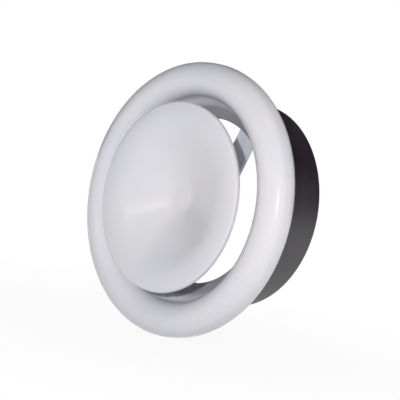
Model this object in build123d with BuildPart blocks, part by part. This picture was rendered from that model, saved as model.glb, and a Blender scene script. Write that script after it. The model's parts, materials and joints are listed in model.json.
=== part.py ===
"""Round air outlet vent (disc valve) for a 125 mm duct.

The axis of the vent is Y. Y = 0 is the wall plane, the room is on the -Y side and the duct on the
+Y side. A pressed rim carries a strap bridge, and a dished disc on a screw spindle opens or closes
the ring-shaped gap through which the air leaves. All lengths are millimetres.
"""
from build123d import *
import math
import os

# Pressed rim: a rolled bead, a hollow mouth, a conical seat and a short skirt
face_diameter = 164.0
bead_band = 2.0
rim_sheet = 1.0
mouth_inset = 0.4
mouth_radius = 10.0
seat_angle = 60.0
throat_diameter = 99.0
throat_bend = 2.0
skirt_length = 6.0

# Collar that slides into the duct
collar_diameter = 124.0
collar_sheet = 1.0
collar_length = 36.3
flange_edge_gap = 2.3
collar_bend = 2.0

# Foam seal in the hollow of the rim
seal_edge_gap = 1.5
seal_depth = 8.0
seal_glue = 0.1

# Strap bridge behind the throat
bridge_angle = 71.0
bridge_width = 15.0
bridge_sheet = 2.0
bridge_gap = 3.8
bridge_bend = 3.0
leg_gap = 0.1
leg_end_margin = 1.6

# Spring clips that hold the rim in the collar, on the diameter square to the bridge
clip_offset = 90.0
clip_width = 12.0
clip_sheet = 0.6
clip_gap = 0.05
clip_reach = 10.0
clip_nose = 5.0
clip_nose_drop = 2.6
clip_bend = 1.5
clip_wall_gap = 0.5

# Rivets that fasten the clips to the skirt
rivet_diameter = 2.4
rivet_head_diameter = 4.4
rivet_head_height = 1.1
rivet_tail_diameter = 3.8
rivet_tail_height = 1.0
rivet_clearance = 0.05
hole_overrun = 1.0

# Screw spindle, its bush in the bridge, lock nut and washer
spindle_diameter = 6.0
spindle_chamfer = 0.6
thread_clearance = 0.1
bush_spigot_wall = 1.5
bush_diameter = 12.0
bush_height = 3.0
bush_chamfer = 0.5
bush_clearance = 0.05
hex_width = 10.0
hex_chamfer = 0.6
lock_nut_height = 3.0
washer_diameter = 12.0
washer_thickness = 1.0
washer_clearance = 0.1

# Stop ring that keeps the spindle in its bush
stop_clearance = 0.2
stop_ring_diameter = 9.0
stop_ring_thickness = 0.8
stop_ring_mouth = 4.0
groove_depth = 0.6
groove_play = 0.05
spindle_tail = 0.8

# Dished disc on the spindle, wide open as in the photograph
disc_diameter = 113.2
disc_standoff = 27.9
disc_sheet = 1.0
dish_depth = 13.0
dish_floor_radius = 9.0
brim_width = 10.6
brim_drop = 1.5
lip_depth = 3.0
lip_bend = 1.6
floor_bend = 20.0
crest_bend = 36.0
boss_diameter = 12.0
boss_length = 4.0
boss_round = 0.8
boss_clearance = 0.05

# Longest part of a straight run that the bends at its ends may take up
bend_share = 0.95

# Places worked out from the sizes above
collar_radius = collar_diameter / 2
collar_inside = collar_radius - collar_sheet
flange_front_y = -collar_sheet

face_radius = face_diameter / 2
mouth_edge = collar_radius - mouth_inset
bead_radius = (face_radius - mouth_edge) / 2
bead_center = face_radius - bead_radius
flange_edge = bead_center - flange_edge_gap
seal_inside = mouth_edge + rim_sheet + seal_glue
seal_outside = bead_center - seal_edge_gap
rear_arc_y = -bead_radius
front_arc_y = rear_arc_y - bead_band
seat_start = mouth_edge - mouth_radius * (1 - math.cos(math.radians(seat_angle)))
seat_start_y = front_arc_y + mouth_radius * math.sin(math.radians(seat_angle))
throat_radius = throat_diameter / 2
seat_slant = (seat_start - throat_radius) / math.sin(math.radians(seat_angle))
throat_bend_limit = bend_share * seat_slant / math.tan(math.radians(seat_angle) / 2)
throat_fillet = min(throat_bend, throat_bend_limit)
seat_end_y = seat_start_y + (seat_start - throat_radius) / math.tan(math.radians(seat_angle))
skirt_end_y = seat_end_y + skirt_length
skirt_outside = throat_radius + rim_sheet
skirt_flat_y = seat_end_y + throat_fillet * math.tan(math.radians(seat_angle) / 2)
rivet_y = (skirt_flat_y + skirt_end_y) / 2

bridge_y = skirt_end_y + bridge_gap
bridge_back_y = bridge_y + bridge_sheet
leg_inside = skirt_outside + leg_gap
spindle_radius = spindle_diameter / 2
thread_bore = spindle_radius + thread_clearance
bush_spigot = thread_bore + bush_spigot_wall
bush_back_y = bridge_back_y + bush_height
washer_y = bush_back_y + washer_clearance
lock_nut_y = washer_y + washer_thickness + washer_clearance
lock_nut_back_y = lock_nut_y + lock_nut_height
stop_ring_y = lock_nut_back_y + stop_clearance
stop_ring_back_y = stop_ring_y + stop_ring_thickness
groove_radius = spindle_radius - groove_depth
spindle_end_y = stop_ring_back_y + spindle_tail

disc_radius = disc_diameter / 2
dish_crest_radius = disc_radius - brim_width
disc_edge_y = -disc_standoff
disc_crest_y = disc_edge_y - brim_drop
dish_floor_y = disc_crest_y + dish_depth
boss_y = dish_floor_y + disc_sheet
cone_angle = math.atan2(dish_depth, dish_crest_radius - dish_floor_radius)
brim_angle = math.atan2(brim_drop, brim_width)
lip_run = lip_bend * math.tan((math.pi / 2 - brim_angle) / 2)
crest_run = bend_share * (math.hypot(brim_width, brim_drop) - lip_run)
crest_fillet = min(crest_bend, crest_run / math.tan((cone_angle + brim_angle) / 2))

rear = Vector(0, 1, 0)


def spoke(angle):
    """Unit vector square to the axis, at an angle above +X as seen from the room."""
    return Vector(math.cos(math.radians(angle)), 0, math.sin(math.radians(angle)))


def section_plane(angle):
    """Plane through the axis: its x runs outwards along the spoke and its y runs to the rear."""
    outwards = spoke(angle)
    return Plane(origin=(0, 0, 0), x_dir=outwards, z_dir=outwards.cross(rear))


def cross_plane(y):
    """Plane square to the axis at a place along it, with its normal to the rear."""
    return Plane(origin=(0, y, 0), x_dir=(1, 0, 0), z_dir=rear)


def rivet_plane(angle, radius):
    """Plane square to a spoke at the rivets' place on the skirt, with its normal outwards."""
    outwards = spoke(angle)
    return Plane(origin=outwards * radius + rear * rivet_y, x_dir=rear, z_dir=outwards)


clip_spokes = (bridge_angle - clip_offset, bridge_angle + clip_offset)
hole_radius = rivet_diameter / 2 + rivet_clearance
os.makedirs("parts", exist_ok=True)

# Rim: one pressed sheet, turned about the axis from the wall round the bead and into the throat
with BuildPart() as rim:
    with BuildSketch(Plane.XY):
        with BuildLine():
            CenterArc((bead_center, rear_arc_y), bead_radius, 90, -90)
            Line((face_radius, rear_arc_y), (face_radius, front_arc_y))
            CenterArc((bead_center, front_arc_y), bead_radius, 0, -180)
            CenterArc((mouth_edge - mouth_radius, front_arc_y), mouth_radius, 0, seat_angle)
            FilletPolyline(
                (seat_start, seat_start_y),
                (throat_radius, seat_end_y),
                (throat_radius, skirt_end_y),
                radius=throat_fillet,
            )
            offset(amount=rim_sheet, side=Side.RIGHT)
        make_face()
    revolve(axis=Axis.Y)
    for angle in clip_spokes:
        with BuildSketch(rivet_plane(angle, throat_radius - hole_overrun)):
            Circle(hole_radius)
        extrude(amount=rim_sheet + 2 * hole_overrun, mode=Mode.SUBTRACT)
rim.part.label = "rim"
export_step(rim.part, "parts/rim.step")

# Foam seal: a plain ring glued to the inner wall of the bead, resting on the collar's flange
with BuildPart() as foam_seal:
    with BuildSketch(cross_plane(flange_front_y)):
        Circle(seal_outside)
        Circle(seal_inside, mode=Mode.SUBTRACT)
    extrude(amount=-seal_depth)
foam_seal.part.label = "foam_seal"
export_step(foam_seal.part, "parts/foam_seal.step")

# Collar: a tube with a turned-out flange that lies on the wall
with BuildPart() as collar:
    with BuildSketch(Plane.XY):
        with BuildLine():
            FilletPolyline(
                (flange_edge, flange_front_y),
                (collar_inside, flange_front_y),
                (collar_inside, collar_length),
                radius=collar_bend,
            )
            offset(amount=collar_sheet, side=Side.RIGHT)
        make_face()
    revolve(axis=Axis.Y)
collar.part.label = "collar"
export_step(collar.part, "parts/collar.step")

# Bridge: a flat strap with two legs bent forwards over the skirt
with BuildPart() as bridge:
    with BuildSketch(section_plane(bridge_angle)):
        with BuildLine():
            FilletPolyline(
                (leg_inside, seat_end_y + leg_end_margin),
                (leg_inside, bridge_y),
                (-leg_inside, bridge_y),
                (-leg_inside, seat_end_y + leg_end_margin),
                radius=bridge_bend,
            )
            offset(amount=bridge_sheet, side=Side.RIGHT)
        make_face()
    extrude(amount=bridge_width / 2, both=True)
    with BuildSketch(cross_plane(bridge_y)):
        Circle(bush_spigot + bush_clearance)
    extrude(amount=bridge_sheet, mode=Mode.SUBTRACT)
bridge.part.label = "bridge"
export_step(bridge.part, "parts/bridge.step")

# Spring clips: thin strips that leave the skirt and bear on the inside of the collar
clip_peak = math.sqrt((collar_inside - clip_wall_gap) ** 2 - (clip_width / 2) ** 2) - clip_sheet
clip_foot = skirt_outside + clip_gap
for number, angle in enumerate(clip_spokes, start=1):
    with BuildPart() as spring_clip:
        with BuildSketch(section_plane(angle)):
            with BuildLine():
                FilletPolyline(
                    (clip_foot, skirt_flat_y),
                    (clip_foot, skirt_end_y),
                    (clip_peak, skirt_end_y + clip_reach),
                    (clip_peak - clip_nose_drop, skirt_end_y + clip_reach + clip_nose),
                    radius=clip_bend,
                )
                offset(amount=clip_sheet, side=Side.RIGHT)
            make_face()
        extrude(amount=clip_width / 2, both=True)
        with BuildSketch(rivet_plane(angle, clip_foot)):
            Circle(hole_radius)
        extrude(amount=clip_sheet, mode=Mode.SUBTRACT)
    spring_clip.part.label = f"spring_clip_{number}"
    export_step(spring_clip.part, f"parts/spring_clip_{number}.step")

# Clip rivets: a domed head inside the throat, a shank, and a domed tail outside the clip
head_seat = math.sqrt(throat_radius**2 - (rivet_head_diameter / 2) ** 2)
tail_seat = clip_foot + clip_sheet
with BuildPart() as clip_rivets:
    for angle in clip_spokes:
        with BuildSketch(section_plane(angle)):
            with BuildLine():
                head = (head_seat, rivet_y + rivet_head_diameter / 2)
                tail = (tail_seat, rivet_y + rivet_tail_diameter / 2)
                head_top = (head_seat - rivet_head_height, rivet_y)
                tail_top = (tail_seat + rivet_tail_height, rivet_y)
                TangentArc(head_top, head, tangent=(0, 1))
                Polyline(
                    head,
                    (head_seat, rivet_y + rivet_diameter / 2),
                    (tail_seat, rivet_y + rivet_diameter / 2),
                    tail,
                )
                TangentArc(tail_top, tail, tangent=(0, 1))
                Line(tail_top, head_top)
            make_face()
        revolve(axis=Axis(rear * rivet_y, spoke(angle)))
clip_rivets.part.label = "clip_rivets"
export_step(clip_rivets.part, "parts/clip_rivets.step")

# Bush clinched into the bridge, flush in front, with the thread for the spindle
with BuildPart() as bridge_bush:
    with BuildSketch(Plane.XY):
        with BuildLine():
            Polyline(
                (thread_bore, bridge_y),
                (bush_spigot, bridge_y),
                (bush_spigot, bridge_back_y),
                (bush_diameter / 2, bridge_back_y),
                (bush_diameter / 2, bush_back_y - bush_chamfer),
                (bush_diameter / 2 - bush_chamfer, bush_back_y),
                (thread_bore, bush_back_y),
                close=True,
            )
        make_face()
    revolve(axis=Axis.Y)
bridge_bush.part.label = "bridge_bush"
export_step(bridge_bush.part, "parts/bridge_bush.step")

# Lock nut: a thin hexagon nut with chamfered corners
hex_corner = hex_width / math.sqrt(3)
with BuildPart() as lock_nut:
    with BuildSketch(cross_plane(lock_nut_y)):
        RegularPolygon(hex_corner, 6)
    extrude(amount=lock_nut_height)
    with BuildSketch(Plane.XY):
        with BuildLine():
            Polyline(
                (thread_bore, lock_nut_y),
                (hex_corner - hex_chamfer, lock_nut_y),
                (hex_corner, lock_nut_y + hex_chamfer),
                (hex_corner, lock_nut_back_y - hex_chamfer),
                (hex_corner - hex_chamfer, lock_nut_back_y),
                (thread_bore, lock_nut_back_y),
                close=True,
            )
        make_face()
    revolve(axis=Axis.Y, mode=Mode.INTERSECT)
lock_nut.part.label = "lock_nut"
export_step(lock_nut.part, "parts/lock_nut.step")

# Washer between the bush and the lock nut, which turns with the spindle
with BuildPart() as washer:
    with BuildSketch(cross_plane(washer_y)):
        Circle(washer_diameter / 2)
        Circle(thread_bore, mode=Mode.SUBTRACT)
    extrude(amount=washer_thickness)
washer.part.label = "washer"
export_step(washer.part, "parts/washer.step")

# Spindle: a screwed rod from the disc to the duct side, with a groove for its stop ring
with BuildPart() as spindle:
    with BuildSketch(Plane.XY):
        with BuildLine():
            Polyline(
                (0, boss_y),
                (spindle_radius, boss_y),
                (spindle_radius, stop_ring_y - groove_play),
                (groove_radius, stop_ring_y - groove_play),
                (groove_radius, stop_ring_back_y + groove_play),
                (spindle_radius, stop_ring_back_y + groove_play),
                (spindle_radius, spindle_end_y - spindle_chamfer),
                (spindle_radius - spindle_chamfer, spindle_end_y),
                (0, spindle_end_y),
                close=True,
            )
        make_face()
    revolve(axis=Axis.Y)
spindle.part.label = "spindle"
export_step(spindle.part, "parts/spindle.step")

# Stop ring: an open spring ring snapped into the groove
with BuildPart() as stop_ring:
    with BuildSketch(cross_plane(stop_ring_y)):
        Circle(stop_ring_diameter / 2)
        Circle(groove_radius + groove_play, mode=Mode.SUBTRACT)
        with Locations((stop_ring_diameter / 2, 0)):
            Rectangle(stop_ring_diameter, stop_ring_mouth, mode=Mode.SUBTRACT)
    extrude(amount=stop_ring_thickness)
stop_ring.part.label = "stop_ring"
export_step(stop_ring.part, "parts/stop_ring.step")

# Disc: a dished pressing whose brim falls back a little to a turned lip
with BuildPart() as disc:
    with BuildSketch(Plane.XY):
        with BuildLine():
            FilletPolyline(
                (0, dish_floor_y),
                (dish_floor_radius, dish_floor_y),
                (dish_crest_radius, disc_crest_y),
                (disc_radius, disc_edge_y),
                (disc_radius, disc_edge_y + lip_depth),
                radius=(floor_bend, crest_fillet, lip_bend),
            )
            offset(amount=disc_sheet, side=Side.LEFT)
        make_face()
    revolve(axis=Axis.Y)
disc.part.label = "disc"
export_step(disc.part, "parts/disc.step")

# Boss welded behind the dish, which takes the spindle
with BuildPart() as disc_boss:
    with BuildSketch(cross_plane(boss_y)):
        Circle(boss_diameter / 2)
    extrude(amount=boss_length)
    fillet(disc_boss.faces().sort_by(Axis.Y)[-1].edges(), boss_round)
    with BuildSketch(cross_plane(boss_y)):
        Circle(spindle_radius + boss_clearance)
    extrude(amount=boss_length, mode=Mode.SUBTRACT)
disc_boss.part.label = "disc_boss"
export_step(disc_boss.part, "parts/disc_boss.step")
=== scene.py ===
# %% [markdown]
# # A round air outlet vent
# This vent closes the end of a ventilation duct in a wall or a ceiling. A pressed white rim covers the
# hole, a dished white disc hangs in front of it on a screw, and turning the disc sets how much air
# leaves through the ring-shaped gap. Behind the rim a dark collar slides into the duct.
# The solids come from the construction model. Here they get finer surfaces and real finishes.

# %% Load the fixed frame
import json
import math

import bpy
import numpy as np
from mathutils import Matrix, Vector


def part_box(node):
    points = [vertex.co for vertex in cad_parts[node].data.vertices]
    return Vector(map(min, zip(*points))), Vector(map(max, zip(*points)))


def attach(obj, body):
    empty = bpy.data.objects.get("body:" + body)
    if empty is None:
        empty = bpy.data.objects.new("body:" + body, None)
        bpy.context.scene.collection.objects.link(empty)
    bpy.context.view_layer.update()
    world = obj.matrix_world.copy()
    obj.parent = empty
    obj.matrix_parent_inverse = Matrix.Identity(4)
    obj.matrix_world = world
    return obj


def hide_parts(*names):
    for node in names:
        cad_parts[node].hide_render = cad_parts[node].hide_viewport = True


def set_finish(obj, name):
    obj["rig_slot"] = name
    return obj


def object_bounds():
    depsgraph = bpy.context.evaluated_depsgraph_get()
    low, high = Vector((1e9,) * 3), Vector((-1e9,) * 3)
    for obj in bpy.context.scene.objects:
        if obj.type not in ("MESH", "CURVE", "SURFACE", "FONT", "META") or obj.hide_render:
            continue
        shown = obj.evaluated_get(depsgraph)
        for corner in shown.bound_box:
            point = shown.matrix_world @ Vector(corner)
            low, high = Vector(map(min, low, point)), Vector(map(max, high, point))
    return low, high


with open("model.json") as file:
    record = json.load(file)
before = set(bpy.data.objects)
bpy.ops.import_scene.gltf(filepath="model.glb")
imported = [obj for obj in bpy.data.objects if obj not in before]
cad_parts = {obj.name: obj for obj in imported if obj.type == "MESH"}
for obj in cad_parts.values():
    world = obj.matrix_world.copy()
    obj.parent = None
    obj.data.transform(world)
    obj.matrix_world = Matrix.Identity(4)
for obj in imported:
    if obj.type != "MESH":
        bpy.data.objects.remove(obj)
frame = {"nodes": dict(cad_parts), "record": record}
cad_low, cad_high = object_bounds()
nodes = frame["nodes"]
MM = 0.001
print("CAD box in mm:", [round(size / MM, 1) for size in cad_high - cad_low])

# %% [markdown]
# ## Curves in the half-plane through the axis
# Rim, disc and collar are round, so each of them is fully described by one section: a curve of radius
# and depth. Blender's Spin tool could turn such a curve, but numbers are easier to keep equal to the
# construction model, so the sections are joined from arcs and rounded corners as arrays of points.


# %% Arcs, rounded corners and even spacing
def arc(centre, radius, start, end, count=121):
    """Points of a circle: centre + radius (cos t, sin t), with t going from start to end in degrees."""
    turn = np.radians(np.linspace(start, end, count))
    return np.asarray(centre) + radius * np.column_stack((np.cos(turn), np.sin(turn)))


def rounded(corners, radii):
    """Straight runs through the corners, with an arc that touches both runs at each inner corner.

    An arc of radius r that turns the path by an angle starts r tan(angle / 2) before the corner.
    """
    corners = np.asarray(corners, float)
    heading = np.diff(corners, axis=0)
    heading /= np.linalg.norm(heading, axis=1, keepdims=True)
    bearing = np.degrees(np.arctan2(heading[:, 1], heading[:, 0]))
    runs = [corners[:1]]
    for corner, before, start, turn, radius in zip(
        corners[1:-1], heading, bearing, np.diff(bearing), radii
    ):
        turn = (turn + 180) % 360 - 180
        left = np.sign(turn)
        touch = corner - before * radius * math.tan(math.radians(abs(turn) / 2))
        centre = touch + left * radius * np.array((-before[1], before[0]))
        runs.append(arc(centre, radius, start - 90 * left, start - 90 * left + turn))
    runs.append(corners[-1:])
    return np.vstack(runs)


def even(path, step, trim_start=0.0, trim_end=0.0):
    """The same path with its points spaced evenly, and shortened at its ends by the two trims."""
    length = np.hypot(*np.diff(path, axis=0).T)
    path = path[np.r_[True, length > 1e-9]]
    along = np.r_[0, np.cumsum(length[length > 1e-9])]
    count = int(round(along[-1] / step)) + 1
    place = np.linspace(trim_start, along[-1] - trim_end, count)
    return np.column_stack([np.interp(place, along, path[:, axis]) for axis in (0, 1)])


def sideways(path):
    """Unit vectors to the left of the path at each of its points."""
    ahead = np.gradient(path, axis=0)
    ahead /= np.linalg.norm(ahead, axis=1, keepdims=True)
    return np.column_stack((-ahead[:, 1], ahead[:, 0]))


# %% [markdown]
# ## From a section to a mesh
# A pressed sheet is the same curve twice, one sheet thickness apart, with half-round edges where the
# paint has flowed over the cut. Turning that outline about the Y axis gives a grid of points, rows
# round the axis and columns along the outline, and a grid is quickly joined into four-sided faces.


# %% Sheet outlines, turning and joining
def half_round(edge, opposite, count=5):
    """Points of the half circle over the cut edge of a sheet, from one of its corners to the other."""
    middle, arm = (edge + opposite) / 2, (edge - opposite) / 2
    turn = np.linspace(0, np.pi, count + 2)[1:-1, None]
    return middle + arm * np.cos(turn) + np.array((-arm[1], arm[0])) * np.sin(turn)


def sheet(path, thickness, closed_start=True):
    """Outline of a sheet that lies to the left of a path; its free edges are half round.

    The second face is path + thickness times the unit vector to the left. Where the sheet starts on
    the axis it has no free edge there, and the outline stays open for a pole.
    """
    other = path + thickness * sideways(path)
    runs = [path, half_round(path[-1], other[-1]), other[::-1]]
    if closed_start:
        runs.append(half_round(other[0], path[0]))
    return np.vstack(runs)


def turned(outline, count):
    """Grid of a surface of revolution: the point (r, y) goes to (r cos a, y, r sin a)."""
    angle = np.linspace(0, 2 * np.pi, count, endpoint=False)[:, None]
    radius, depth = outline.T
    return np.stack(
        (np.cos(angle) * radius, np.broadcast_to(depth, (count, len(depth))), np.sin(angle) * radius),
        axis=-1,
    )


def joined(grid, poles):
    """Points and faces of a grid whose rows close into a ring.

    Without poles the columns close too. With poles the first and last column shrink to one point each.
    """
    rows = len(grid)
    inner = grid[:, 1:-1] if poles else grid
    index = np.arange(rows * inner.shape[1]).reshape(rows, -1)
    below = np.roll(index, -1, axis=0)
    points = inner.reshape(-1, 3)
    if not poles:
        index = np.column_stack((index, index[:, 0]))
        below = np.column_stack((below, below[:, 0]))
    faces = np.stack((index[:, :-1], below[:, :-1], below[:, 1:], index[:, 1:]), axis=-1)
    faces = faces.reshape(-1, 4).tolist()
    if poles:
        first, last = len(points), len(points) + 1
        points = np.vstack((points, grid[0, :1], grid[0, -1:]))
        faces += [(first, b, a) for a, b in zip(index[:, 0].tolist(), below[:, 0].tolist())]
        faces += [(last, a, b) for a, b in zip(index[:, -1].tolist(), below[:, -1].tolist())]
    return points, faces


def piece(name, grids, body, slot, replaced=(), poles=False, sharp=None):
    """One object made of closed grids, with its faces outwards, riding on a body of the frame.

    A closed mesh has its faces outwards if the sum of the corner triple products is positive.
    """
    points, faces = np.zeros((0, 3)), []
    for grid in grids:
        new_points, new_faces = joined(grid, poles)
        first = np.array([face[:3] for face in new_faces])
        a, b, c = (new_points[first[:, corner]] for corner in range(3))
        if np.einsum("ij,ij->", a - new_points.mean(0), np.cross(b - a, c - a)) < 0:
            new_faces = [face[::-1] for face in new_faces]
        faces += [[corner + len(points) for corner in face] for face in new_faces]
        points = np.vstack((points, new_points))
    mesh = bpy.data.meshes.new(name)
    mesh.from_pydata(points.tolist(), [], faces)
    mesh.shade_smooth()
    if sharp:
        mesh.set_sharp_from_angle(angle=math.radians(sharp))
    made = bpy.data.objects.new(name, mesh)
    bpy.context.scene.collection.objects.link(made)
    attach(made, body)
    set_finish(made, slot)
    if replaced:
        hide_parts(*replaced)
    print(f"{name}: {len(points)} points, {len(faces)} faces")
    return made


# %% [markdown]
# ## The pressed rim
# The rim is one sheet of steel: a fat rolled bead lies on the wall, turns into a hollow mouth, then a
# conical seat for the disc, and ends in a short skirt inside the duct. It could be modelled as a torus
# and a cone, but then the tangent joints would show in the gloss. One traced section has none.

# %% Rim
SHEET = 1.0 * MM
collar_radius = frame["record"]["mounts"][0]["dims"]["r_mm"] * MM
rim_low, rim_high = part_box("rim")
mouth_inset = 0.4 * MM
bead_band = 2.0 * MM
mouth_radius = 10.0 * MM
seat_angle = 60.0
throat_radius = 49.5 * MM
throat_bend = 2.0 * MM
rim_step, rim_rows = 0.6 * MM, 300
mouth_edge = collar_radius - mouth_inset
bead_radius = (rim_high.x - mouth_edge) / 2
bead_centre = rim_high.x - bead_radius
front_arc_y = -bead_radius - bead_band
mouth_curve = arc((mouth_edge - mouth_radius, front_arc_y), mouth_radius, 0, seat_angle)
seat_start = mouth_curve[-1]
seat_end_y = seat_start[1] + (seat_start[0] - throat_radius) / math.tan(math.radians(seat_angle))
rim_path = np.vstack(
    (
        arc((bead_centre, -bead_radius), bead_radius, 90, 0),
        arc((bead_centre, front_arc_y), bead_radius, 0, -180),
        mouth_curve[:-1],
        rounded(
            [seat_start, (throat_radius, seat_end_y), (throat_radius, rim_high.y)],
            [throat_bend],
        ),
    )
)
rim_path = even(rim_path, rim_step, SHEET / 2, SHEET / 2)
rim_outline = sheet(rim_path[::-1], SHEET)[::-1]
rim = piece("rim_enamel", [turned(rim_outline, rim_rows)], "rim_body", "white_enamel", ["rim"])

# %% [markdown]
# ## The dished disc
# The disc is a second pressing. It sinks towards its centre, where the screw is fastened behind it,
# rises in a soft crest and falls back to a lip that closes on the rim's seat. Its section starts and
# ends on the axis, so the turned surface closes in a pole in front and another behind.

# %% Disc
disc_low, disc_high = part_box("disc")
disc_radius = disc_high.x
disc_edge_y = -27.9 * MM
lip_depth = 3.0 * MM
brim_width = 10.6 * MM
brim_drop = 1.5 * MM
dish_depth = 13.0 * MM
dish_floor_radius = 9.0 * MM
floor_bend, crest_bend, lip_bend = 20.0 * MM, 36.0 * MM, 1.6 * MM
disc_step, disc_rows = 0.5 * MM, 300
disc_crest_y = disc_edge_y - brim_drop
dish_floor_y = disc_crest_y + dish_depth
disc_path = rounded(
    [
        (0, dish_floor_y),
        (dish_floor_radius, dish_floor_y),
        (disc_radius - brim_width, disc_crest_y),
        (disc_radius, disc_edge_y),
        (disc_radius, disc_edge_y + lip_depth),
    ],
    [floor_bend, crest_bend, lip_bend],
)
disc_path = even(disc_path, disc_step, 0, SHEET / 2)
# The finer crest stands a few thousandths of a millimetre proud of the solid's, so it is held to its box
disc_path[:, 1] = np.maximum(disc_path[:, 1], disc_low.y)
disc_outline = sheet(disc_path, SHEET, closed_start=False)
disc_outline[[0, -1], 0] = 0
disc = piece(
    "disc_enamel", [turned(disc_outline, disc_rows)], "disc_body", "white_enamel", ["disc"], poles=True
)

# %% [markdown]
# ## The collar
# The collar is a plain tube with its end turned out into a flange. The flange lies between the wall and
# the rim, and the tube slides into the duct.

# %% Collar
flange_low, flange_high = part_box("collar")
collar_inside = collar_radius - SHEET
flange_bend = 2.0 * MM
collar_step, collar_rows = 0.7 * MM, 260
collar_path = rounded(
    [(flange_high.x, flange_low.y), (collar_inside, flange_low.y), (collar_inside, flange_high.y)],
    [flange_bend],
)
collar_path = even(collar_path, collar_step, SHEET / 2, SHEET / 2)
collar_outline = sheet(collar_path[::-1], SHEET)[::-1]
collar = piece(
    "collar_tube", [turned(collar_outline, collar_rows)], "rim_body", "dark_steel", ["collar"]
)

# %% [markdown]
# ## The screw
# The disc is moved by a screw with a fine thread. A thread is a ridge wound round the rod, so its
# surface is a radius that depends on one number only: the angle round the axis less one full turn for
# each pitch along it. A helix of separate rings would be heavier and would not run on without a seam.

# %% Spindle with its thread
THREAD_PITCH = 1.0 * MM
THREAD_DEPTH = 0.55 * MM
ridge_root, ridge_crest = 0.2, 0.85
spindle_low, spindle_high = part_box("spindle")
spindle_radius = spindle_high.x
boss_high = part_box("disc_boss")[1]
ring_low, ring_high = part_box("stop_ring")
groove_depth, groove_play = 0.6 * MM, 0.05 * MM
tip_chamfer = 0.6 * MM
thread_sharp = 35


def ramp(value, start, end):
    """0 before start, 1 after end, and a straight rise between them."""
    return np.clip((value - start) / (end - start), 0, 1)


def screw_grid(around=72, along=420):
    """Points of the screw: radius = root + depth x ridge(phase), at an angle and a depth along Y.

    phase = angle / 2 pi - y / pitch, so the ridge climbs one pitch for each right-handed turn. The
    ridge is a triangle wave cut flat at crest and root, and it fades out before the boss, the groove
    and the tip.
    """
    angle = np.linspace(0, 2 * np.pi, around, endpoint=False)[:, None]
    depth = np.linspace(spindle_low.y, spindle_high.y, along)
    phase = (angle / (2 * np.pi) - depth / THREAD_PITCH) % 1
    ridge = ramp(1 - np.abs(2 * phase - 1), ridge_root, ridge_crest)
    threaded = ramp(depth, boss_high.y, boss_high.y + THREAD_PITCH)
    threaded = threaded * (1 - ramp(depth, ring_low.y - THREAD_PITCH, ring_low.y))
    radius = spindle_radius - THREAD_DEPTH * threaded * (1 - ridge)
    in_groove = (depth > ring_low.y - groove_play) & (depth < ring_high.y + groove_play)
    radius = np.where(in_groove, spindle_radius - groove_depth, radius)
    radius = radius - tip_chamfer * ramp(depth, spindle_high.y - tip_chamfer, spindle_high.y)
    radius[:, [0, -1]] = 0
    depth = np.r_[depth[1], depth[1:-1], depth[-2]]
    depth = np.broadcast_to(depth, radius.shape)
    return np.stack((radius * np.sin(angle), depth, radius * np.cos(angle)), axis=-1)


spindle = piece(
    "spindle_thread",
    [screw_grid()],
    "disc_body",
    "zinc_plate",
    ["spindle"],
    poles=True,
    sharp=thread_sharp,
)

# %% [markdown]
# ## The foam seal
# A strip of soft foam is glued into the hollow of the rim and stops air from leaking along the wall. Its
# cut faces are never flat: they bulge between the rim and the flange and wander a little along the
# ring. A rounded square carried round the axis, with a few slow waves in it, shows that.

# %% Foam seal
seal_low, seal_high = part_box("foam_seal")
foam_gap = 0.1 * MM
seal_inside = mouth_edge + SHEET + foam_gap
seal_wander = 0.18 * MM
squareness = 7


def foam_grid(around=220, section=44):
    """Points of a ring whose section is a rounded square, squeezed by slow waves.

    The square is |u|^n + |v|^n = 1, with n the squareness: u and v are cos t and sin t to the power 2 / n.
    """
    angle = np.linspace(0, 2 * np.pi, around, endpoint=False)[:, None]
    turn = np.linspace(0, 2 * np.pi, section, endpoint=False)
    power = 2 / squareness
    u = np.sign(np.cos(turn)) * np.abs(np.cos(turn)) ** power
    v = np.sign(np.sin(turn)) * np.abs(np.sin(turn)) ** power
    wave = np.sin(5 * angle + 2 * turn) + np.sin(13 * angle - 3 * turn) + np.sin(29 * angle + turn)
    squeeze = seal_wander * (1 + wave / 3) / 2
    half_width = (seal_high.x - seal_inside) / 2 - squeeze
    half_depth = (seal_high.y - seal_low.y) / 2 - squeeze
    radius = (seal_high.x + seal_inside) / 2 + half_width * u
    depth = (seal_high.y + seal_low.y) / 2 + half_depth * v
    return np.stack((radius * np.cos(angle), depth, radius * np.sin(angle)), axis=-1)


foam = piece("foam_strip", [foam_grid()], "rim_body", "seal_foam", ["foam_seal"])

# %% [markdown]
# ## Welds
# The boss is welded to the back of the disc all round, and each leg of the bridge is held to the skirt
# by two spot welds. A weld all round is a small ring with ripples, and a spot weld leaves a flat
# button with a raised edge. Both are thin surfaces that sit on the metal they join.

# %% Weld ring behind the disc and spot welds on the bridge's legs
boss_radius = boss_high.x
weld_size, weld_ripples = 0.9 * MM, 22
weld_from_boss, weld_from_dish = 0.2 * MM, 0.1 * MM
spot_radius = 2.0 * MM
spot_height = 0.22 * MM
bridge_angle = math.radians(71.0)
leg_gap, leg_sheet = 0.1 * MM, 2.0 * MM
leg_outside = throat_radius + SHEET + leg_gap + leg_sheet
spot_offset, spot_from_seat = 3.6 * MM, 4.6 * MM
spot_y = seat_end_y + spot_from_seat


def weld_ring(around=160, section=14):
    """A ring round the boss with a round section of a size 0.85 + 0.15 sin^2 (ripples x angle)."""
    angle = np.linspace(0, 2 * np.pi, around, endpoint=False)[:, None]
    turn = np.linspace(0, 2 * np.pi, section, endpoint=False)
    size = weld_size * (0.85 + 0.15 * np.sin(weld_ripples * angle) ** 2)
    radius = boss_radius + weld_from_boss + size * np.cos(turn)
    depth = dish_floor_y + SHEET + weld_from_dish + size * np.sin(turn)
    return np.stack((radius * np.cos(angle), depth, radius * np.sin(angle)), axis=-1)


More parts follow.
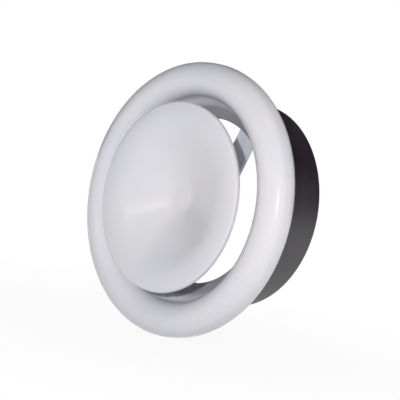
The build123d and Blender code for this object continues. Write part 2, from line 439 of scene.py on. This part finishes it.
def spot_weld(side, offset):
    """A button on a leg: height over its disc is 0.55 + 0.45 sin^2 of the radius, and zero at its rim."""
    angle = np.linspace(0, 2 * np.pi, 28, endpoint=False)[:, None]
    share = np.r_[0, np.linspace(0.15, 1, 12), 1, 0]
    height = spot_height * (0.55 + 0.45 * np.sin(np.pi * share) ** 2) * (share < 1)
    height[-2:] = -spot_height
    along = spot_radius * share * np.cos(angle)
    across = spot_radius * share * np.sin(angle) + offset
    out = leg_outside + np.broadcast_to(height, along.shape)
    spoke = side * np.array((math.cos(bridge_angle), 0, math.sin(bridge_angle)))
    beside = np.array((-math.sin(bridge_angle), 0, math.cos(bridge_angle)))
    rear = np.array((0, 1, 0))
    return out[..., None] * spoke + across[..., None] * beside + (along + spot_y)[..., None] * rear


boss_weld = piece("boss_weld", [weld_ring()], "disc_body", "zinc_plate")
spots = [spot_weld(side, offset) for side in (1, -1) for offset in (-spot_offset, spot_offset)]
leg_welds = piece("leg_spot_welds", spots, "rim_body", "zinc_plate", poles=True)

# %% [markdown]
# ## Writing a finish
# A finish is a small network of nodes. Wired by hand it soon becomes hard to read, so one class stands
# for a socket and lets ordinary signs, such as + and *, add the Math nodes. A second class holds one
# material and adds any other node with its settings and inputs.


# %% Sockets that can be reckoned with
class Wire:
    """An output socket of a finish; arithmetic on it adds Math nodes."""

    def __init__(self, finish, socket):
        self.finish = finish
        self.socket = socket

    def reckon(self, operation, first, second):
        """A Math node on two values, each a wire or a number."""
        return self.finish.node("ShaderNodeMath", {"operation": operation}, {0: first, 1: second})

    def __add__(self, other):
        return self.reckon("ADD", self, other)

    def __radd__(self, other):
        return self.reckon("ADD", other, self)

    def __sub__(self, other):
        return self.reckon("SUBTRACT", self, other)

    def __rsub__(self, other):
        return self.reckon("SUBTRACT", other, self)

    def __mul__(self, other):
        return self.reckon("MULTIPLY", self, other)

    def __rmul__(self, other):
        return self.reckon("MULTIPLY", other, self)


class Finish:
    """One node tree: a material's or the world's."""

    def __init__(self, owner):
        self.owner = owner
        owner.use_nodes = True
        self.tree = owner.node_tree
        self.tree.nodes.clear()

    def node(self, kind, settings=None, inputs=None, output=0):
        """Adds a node, sets its settings, then its inputs, and returns one of its outputs."""
        made = self.tree.nodes.new(kind)
        for name, value in (settings or {}).items():
            setattr(made, name, value)
        for name, value in (inputs or {}).items():
            if isinstance(value, Wire):
                self.tree.links.new(value.socket, made.inputs[name])
            else:
                made.inputs[name].default_value = value
        return Wire(self, made.outputs[output])

    def place(self):
        """Where a point lies on the piece, in metres."""
        return self.node("ShaderNodeTexCoord", output="Object")

    def noise(self, scale, detail=2.0, roughness=0.5, place=None):
        """Cloudy values round 0.5; scale is in clouds to the metre."""
        return self.node(
            "ShaderNodeTexNoise",
            inputs={
                "Vector": place or self.place(),
                "Scale": scale,
                "Detail": detail,
                "Roughness": roughness,
            },
        )

    def stretch(self, factors):
        """The place with its three axes stretched, so that a pattern on it gets a direction."""
        return self.node("ShaderNodeMapping", inputs={"Vector": self.place(), "Scale": factors})

    def length(self, vector):
        """The length of a vector."""
        return self.node("ShaderNodeVectorMath", {"operation": "LENGTH"}, {0: vector}, output="Value")

    def along_axis(self):
        """How far a point lies behind the wall plane, in metres."""
        return self.node("ShaderNodeSeparateXYZ", inputs={0: self.place()}, output="Y")

    def between(self, share, low, high):
        """The share's values with low taken to 0 and high to 1, and nothing beyond."""
        return self.node(
            "ShaderNodeMapRange", {"clamp": True}, {"Value": share, "From Min": low, "From Max": high}
        )

    def blend(self, share, first, second):
        """A colour that goes from first to second as the share goes from 0 to 1."""
        return self.node(
            "ShaderNodeMix", {"data_type": "RGBA"}, {0: share, 6: first, 7: second}, output=2
        )

    def bump(self, height, depth):
        """Bends the shading as if the surface rose by height times depth, in metres."""
        return self.node(
            "ShaderNodeBump", inputs={"Height": height, "Distance": depth}, output="Normal"
        )

    def surface(self, inputs):
        """Ends the network in a Principled surface."""
        shader = self.node("ShaderNodeBsdfPrincipled", inputs=inputs)
        self.node_output("ShaderNodeOutputMaterial", shader)
        print("finish", self.owner.name, "with", len(self.tree.nodes), "nodes")
        return self.owner

    def node_output(self, kind, shader):
        """Connects a shader to the tree's output."""
        made = self.tree.nodes.new(kind)
        self.tree.links.new(shader.socket, made.inputs["Surface"])


def new_finish(name):
    """The empty node tree of a new material."""
    return Finish(bpy.data.materials.new(name))


# %% [markdown]
# ## White stove enamel
# Rim and disc are sprayed white and baked. The coat is smooth and half glossy, with the faint orange
# peel that sprayed paint keeps, a tone that drifts a little between a cool and a warm white, and a few
# fine specks of dust. A flat white would look like plaster, so tone, gloss and relief all vary, each at
# its own scale. The throat is painted grey as painted shade, because its light alone leaves it too
# light: a mask on the distance from the axis and on the depth says where. Here the coat is taken to be
# thinner and greyer there, which is a guess: a mask on the distance from the axis and on the depth says
# where.


# %% White enamel
# Painted shade: the throat between these radii and depths is painted grey instead of white.
throat_shade = (throat_radius + 6.5 * MM, throat_radius + 10.5 * MM)
throat_shade_depth = (-9 * MM, -6 * MM)
cool_white, warm_white = (0.735, 0.748, 0.800, 1), (0.790, 0.762, 0.785, 1)
dust_tone, painted_shade_tone = (0.40, 0.39, 0.38, 1), (0.30, 0.30, 0.32, 1)


def white_enamel():
    """White paint: slow drift of tone, orange peel, specks of dust and painted shade in the throat."""
    paint = new_finish("white_enamel")
    drift = paint.noise(16, 3)
    peel = paint.noise(520, 2, 0.4)
    speck = paint.between(paint.noise(1700, 1), 0.74, 0.80)
    tone = paint.blend(paint.between(drift, 0.3, 0.7), cool_white, warm_white)
    tone = paint.blend(speck * 0.25, tone, dust_tone)
    from_axis = paint.length(paint.stretch((1, 0, 1)))
    shade_near_axis = 1 - paint.between(from_axis, *throat_shade)
    # Painted shade: grey is mixed into the white where the mask lies in the throat.
    tone = paint.blend(shade_near_axis * paint.between(paint.along_axis(), *throat_shade_depth), tone, painted_shade_tone)
    return paint.surface(
        {
            "Base Color": tone,
            "Roughness": 0.13 + 0.05 * drift + 0.04 * peel,
            "Normal": paint.bump(peel, 0.02 * MM),
            "IOR": 1.42,
        }
    )


enamel = white_enamel()

# %% [markdown]
# ## Dark coat of the collar
# The collar is steel sheet with a thin dark coat. It is nearly black with a purplish cast, and its
# rolling direction shows as fine streaks round the tube. Noise that is drawn out along the surface gives
# such streaks, and the coat is duller where they are lighter. Its gloss is set high, because the lower
# half of the tube visibly mirrors the white floor.


# %% Dark coat
def dark_coat():
    """Nearly black coat: clouds, streaks and grain share out two tones and two degrees of gloss."""
    coat = new_finish("dark_coat")
    cloud = coat.noise(26, 4, 0.6)
    streak = coat.noise(1.0, 4, 0.65, coat.stretch((60, 900, 60)))
    grain = coat.noise(2600, 2)
    share = coat.between(0.5 * cloud + 0.35 * streak + 0.15 * grain, 0.32, 0.68)
    return coat.surface(
        {
            "Base Color": coat.blend(share, (0.012, 0.005, 0.009, 1), (0.028, 0.025, 0.034, 1)),
            "Roughness": 0.36 + 0.18 * share,
            "Specular IOR Level": 1.0,
            "Normal": coat.bump(streak + 0.4 * grain, 0.03 * MM),
        }
    )


collar_coat = dark_coat()

# %% [markdown]
# ## Zinc, spring steel and foam
# The small parts are dull zinc plate with a bluish cast and a faint spangle. The clips and the stop ring
# are bare spring steel, ground along the strip. The foam is a dark mass of tiny cells. Spangle and cells
# come from a Voronoi texture, scuffs and ground lines from stretched noise. Fresh zinc mirrors nearly
# everything, but old plate is dull, so it is only slightly metallic here.


# %% Zinc plate
def zinc_plate():
    """Dull zinc: a bluish tone with flakes that are darker, rougher and more metallic than the rest."""
    zinc = new_finish("zinc_plate")
    spangle = zinc.node(
        "ShaderNodeTexVoronoi", inputs={"Vector": zinc.place(), "Scale": 420.0}, output="Color"
    )
    flake = zinc.node("ShaderNodeSeparateColor", inputs={"Color": spangle}, output="Red")
    cast = zinc.noise(90, 3)
    scuff = zinc.noise(1.0, 3, 0.6, zinc.stretch((1500, 160, 1500)))
    tone = zinc.blend(cast, (0.71, 0.75, 0.85, 1), (0.77, 0.78, 0.82, 1))
    tone = zinc.blend(0.22 * flake, tone, (0.48, 0.51, 0.57, 1))
    return zinc.surface(
        {
            "Base Color": tone,
            "Metallic": 0.08 + 0.12 * flake,
            "Roughness": 0.36 + 0.14 * flake + 0.12 * scuff,
            "Normal": zinc.bump(scuff, 0.02 * MM),
        }
    )


# %% Spring steel
def spring_steel():
    """Bare steel with ground lines along the strip and a faint brown of heat."""
    steel = new_finish("spring_steel")
    lines = steel.noise(1.0, 3, 0.6, steel.stretch((1800, 120, 1800)))
    heat = steel.noise(70, 2)
    return steel.surface(
        {
            "Base Color": steel.blend(heat, (0.36, 0.36, 0.38, 1), (0.47, 0.45, 0.43, 1)),
            "Metallic": 1.0,
            "Roughness": 0.26 + 0.20 * lines,
            "Normal": steel.bump(lines, 0.02 * MM),
        }
    )


# %% Foam
def cell_foam():
    """Dark foam: each cell is a pit, painted darkest at its middle as painted shade."""
    mass = new_finish("cell_foam")
    cell = mass.node(
        "ShaderNodeTexVoronoi", inputs={"Vector": mass.place(), "Scale": 1500.0}, output="Distance"
    )
    cloud = mass.noise(120, 3)
    # Painted shade: each cell's colour is darkest at its middle, where the pit is in shade.
    shade = mass.between(cell, 0.15, 0.75) * (0.7 + 0.6 * cloud)
    return mass.surface(
        {
            "Base Color": mass.blend(shade, (0.012, 0.012, 0.013, 1), (0.085, 0.085, 0.090, 1)),
            "Roughness": 0.86 + 0.1 * cloud,
            "Normal": mass.bump(cell, 0.25 * MM),
        }
    )


# %% Give every piece its finish
finish_of_slot = {
    "white_enamel": enamel,
    "dark_steel": collar_coat,
    "zinc_plate": zinc_plate(),
    "spring_steel": spring_steel(),
    "seal_foam": cell_foam(),
}
new_pieces = (rim, disc, collar, spindle, foam, boss_weld, leg_welds)
for part in frame["record"]["subparts"]:
    node = nodes[part["node"]]
    node.data.materials.clear()
    node.data.materials.append(finish_of_slot[part["material_slot"]])
for made in new_pieces:
    made.data.materials.append(finish_of_slot[made["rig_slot"]])
print("finished", len(nodes), "solids and", len(new_pieces), "new pieces")

# %% [markdown]
# ## Camera
# The photograph is a small piece cut from the edge of a wider picture. So the picture plane is not
# square to the line of sight, and the collar seems to leave the rim at a slant. A camera's Shift would do
# this, but it would stay on when the camera is moved to look at another side. Here the camera hangs on a
# rig, and the rig's matrix has a slanted third axis: two axes lie in the picture plane, and the third is
# the line of sight.

# %% Camera
photo_size = 400
face_radius = rim_high.x
face_radius_px = 136.3
aim = Vector((0, rim_low.y / 2, 0))
aim_px = (188.4, 198.2)
distance = 16.05 * face_radius
camera_bearing, camera_height = 46.56, 4.94
film_bearing, film_height = 34.79, -6.56
film_roll = math.radians(11.65)
sensor_width = 36.0


def direction(bearing, height):
    """Unit vector from the vent: a bearing of 0 degrees is straight in front, 90 is on its right."""
    bearing, height = math.radians(bearing), math.radians(height)
    return Vector(
        (math.sin(bearing) * math.cos(height), -math.cos(bearing) * math.cos(height), math.sin(height))
    )


film = direction(film_bearing, film_height)
level = Vector((0, 0, 1)).cross(film).normalized()
right = level * math.cos(film_roll) + film.cross(level) * math.sin(film_roll)
up = film.cross(right)
metre_per_px = face_radius / face_radius_px
to_middle = right * (photo_size / 2 - aim_px[0]) - up * (photo_size / 2 - aim_px[1])
station = aim + direction(camera_bearing, camera_height) * distance
sight = station - (aim + to_middle * metre_per_px)
slanted = Matrix((right, up, sight.normalized())).transposed().to_4x4()
slanted.translation = station
camera_data = bpy.data.cameras.new("photo_camera")
camera_data.sensor_width = sensor_width
camera_data.lens = sight.length / metre_per_px * sensor_width / photo_size
camera_data.clip_end = 100
camera = bpy.data.objects.new("photo_camera", camera_data)
rig = bpy.data.objects.new("camera_rig", None)
for made in (camera, rig):
    bpy.context.scene.collection.objects.link(made)
camera.parent = rig
camera.matrix_parent_inverse = slanted
bpy.context.scene.camera = camera
print("lens", round(camera_data.lens, 1), "mm at", round(distance, 2), "m")

# %% [markdown]
# ## Floor and white surroundings
# The picture has a plain white ground. The floor is a pale matt plane that still takes the shadow, and
# both floor and surroundings show as white where the camera, a reflection or a clear material looks at
# them. What lights the vent is weaker and slightly blue, so the white enamel keeps its shading.

# %% Floor and world
bpy.context.scene.view_settings.view_transform = "Standard"
ambient_light = 0.13
ambient_tone, floor_tone, white_tone = (0.92, 0.95, 1, 1), (0.86, 0.86, 0.87, 1), (1, 1, 1, 1)
floor_white_share = 0.92
shadow_reach = (0.09, 0.28)


def seen_directly(finish):
    """1 for rays from the camera and for mirrored or refracted rays, and 0 for soft bounced light."""
    path = "ShaderNodeLightPath"
    seen = finish.node(path, output="Is Camera Ray")
    for kind in ("Is Glossy Ray", "Is Transmission Ray"):
        seen = seen.reckon("MAXIMUM", seen, finish.node(path, output=kind))
    return seen


def white_world():
    """Surroundings that look white and give a weak, slightly blue light."""
    studio = Finish(bpy.data.worlds.new("studio"))
    soft, white = (
        studio.node("ShaderNodeBackground", inputs={"Color": tone, "Strength": strength})
        for tone, strength in ((ambient_tone, ambient_light), (white_tone, 1.0))
    )
    both = studio.node("ShaderNodeMixShader", inputs={0: seen_directly(studio), 1: soft, 2: white})
    studio.node_output("ShaderNodeOutputWorld", both)
    return studio.owner


def pale_floor():
    """Matt floor that looks white, fully so beyond the reach of the vent's shadow."""
    ground = new_finish("pale_floor")
    matt = ground.node("ShaderNodeBsdfDiffuse", inputs={"Color": floor_tone})
    white = ground.node("ShaderNodeEmission", inputs={"Color": white_tone, "Strength": 1.0})
    far = ground.between(ground.length(ground.place()), *shadow_reach)
    share = seen_directly(ground) * (floor_white_share + (1 - floor_white_share) * far)
    both = ground.node("ShaderNodeMixShader", inputs={0: share, 1: matt, 2: white})
    ground.node_output("ShaderNodeOutputMaterial", both)
    return ground.owner


def stage_sheet(name, grid, finish):
    """An open grid of points as a mesh that is not attached to any body of the vent."""
    index = np.arange(grid.shape[0] * grid.shape[1]).reshape(grid.shape[:2])
    faces = np.stack((index[:-1, :-1], index[1:, :-1], index[1:, 1:], index[:-1, 1:]), axis=-1)
    mesh = bpy.data.meshes.new(name)
    mesh.from_pydata(grid.reshape(-1, 3).tolist(), [], faces.reshape(-1, 4).tolist())
    mesh.materials.append(finish)
    made = bpy.data.objects.new(name, mesh)
    bpy.context.scene.collection.objects.link(made)
    return made


bpy.context.scene.world = white_world()
floor_gap = 0.1 * MM
floor_reach, floor_z = 4.0, cad_low.z - floor_gap
side = np.array((-floor_reach, floor_reach))
floor_grid = np.stack((*np.meshgrid(side, side, indexing="ij"), np.full((2, 2), floor_z)), axis=-1)
stage_sheet("floor", floor_grid, pale_floor())
print("floor at", round(floor_z / MM, 1), "mm")

# %% [markdown]
# ## A dark curtain for the reflections
# White things on a white ground lose their outline. A photographer hangs black cloth behind the object,
# just out of the picture, and its reflection draws a thin grey line along every edge and darkens the
# collar. Here the curtain is a bent strip that only mirrored rays can see, so it neither shows nor takes
# any light.

# %% Dark curtain
curtain_radius = 2.4
curtain_height = 7.0
curtain_span = (112, 318)
curtain_gap = 1 * MM
cloth_dark, cloth_pale = (0.01, 0.01, 0.01, 1), (0.03, 0.03, 0.03, 1)


def curtain_grid(count=60):
    """Points at radius (sin b, -cos b) for bearings b, just above the floor and at the curtain's top."""
    bearing = np.radians(np.linspace(*curtain_span, count))[:, None]
    height = np.array((floor_z + curtain_gap, curtain_height))
    across, along = curtain_radius * np.sin(bearing), -curtain_radius * np.cos(bearing)
    return np.stack(np.broadcast_arrays(across, along, height), axis=-1)


def black_cloth():
    """Dull black with a faint weave."""
    cloth = new_finish("black_cloth")
    weave = cloth.noise(800, 2)
    return cloth.surface({"Base Color": cloth.blend(weave, cloth_dark, cloth_pale), "Roughness": 1.0})


curtain = stage_sheet("curtain", curtain_grid(), black_cloth())
curtain.visible_camera = curtain.visible_diffuse = curtain.visible_transmission = False
curtain.visible_shadow = False
print("curtain from", *curtain_span, "degrees")

# %% [markdown]
# ## Lamps
# Most of the light comes from a small key lamp near the camera, which throws the disc's shadow on the
# bridge. Two small panels give gloss alone: the streak on the right of the rim and a faint glint in the
# dish. Large panels on the left, on the right, behind and above fill the rest. A photographer puts a
# polarising sheet before a lamp that must leave no mirror image; here a lamp can be hidden from mirrored
# rays, and then gives soft light only. Each lamp has a bearing, a height, a width, a length, a power and
# what it serves.

# %% Lamps
lamp_distance = 1.6
lamps = {
    "key": (37.5, 9, 0.06, 0.06, 16.6, "soft"),
    "rim_streak": (70, 9.5, 0.15, 0.36, 4.2, "gloss"),
    "dish_streak": (-11.6, 10, 0.16, 0.2, 0.6, "gloss"),
    "left": (-42, 12, 1.6, 1.6, 1.6, "both"),
    "right": (120, 8, 1.2, 1.2, 11.0, "soft"),
    "rear": (222, 8, 1.4, 1.4, 12.0, "soft"),
    "above": (205, 66, 1.2, 1.2, 3.2, "soft"),
}


def lamp(name, bearing, height, width, tall, power, serves):
    """A rectangular lamp that looks at the middle of the rim from a bearing and a height in degrees."""
    data = bpy.data.lights.new(name, "AREA")
    data.shape = "RECTANGLE"
    data.size, data.size_y = width, tall
    data.energy = power
    away = direction(bearing, height)
    made = bpy.data.objects.new(name, data)
    made.rotation_mode = "QUATERNION"
    made.rotation_quaternion = away.to_track_quat("Z", "Y")
    made.location = aim + away * lamp_distance
    made.visible_diffuse = serves != "gloss"
    made.visible_glossy = serves != "soft"
    bpy.context.scene.collection.objects.link(made)


for name, facts in lamps.items():
    lamp(name, *facts)
print(len(lamps), "lamps")
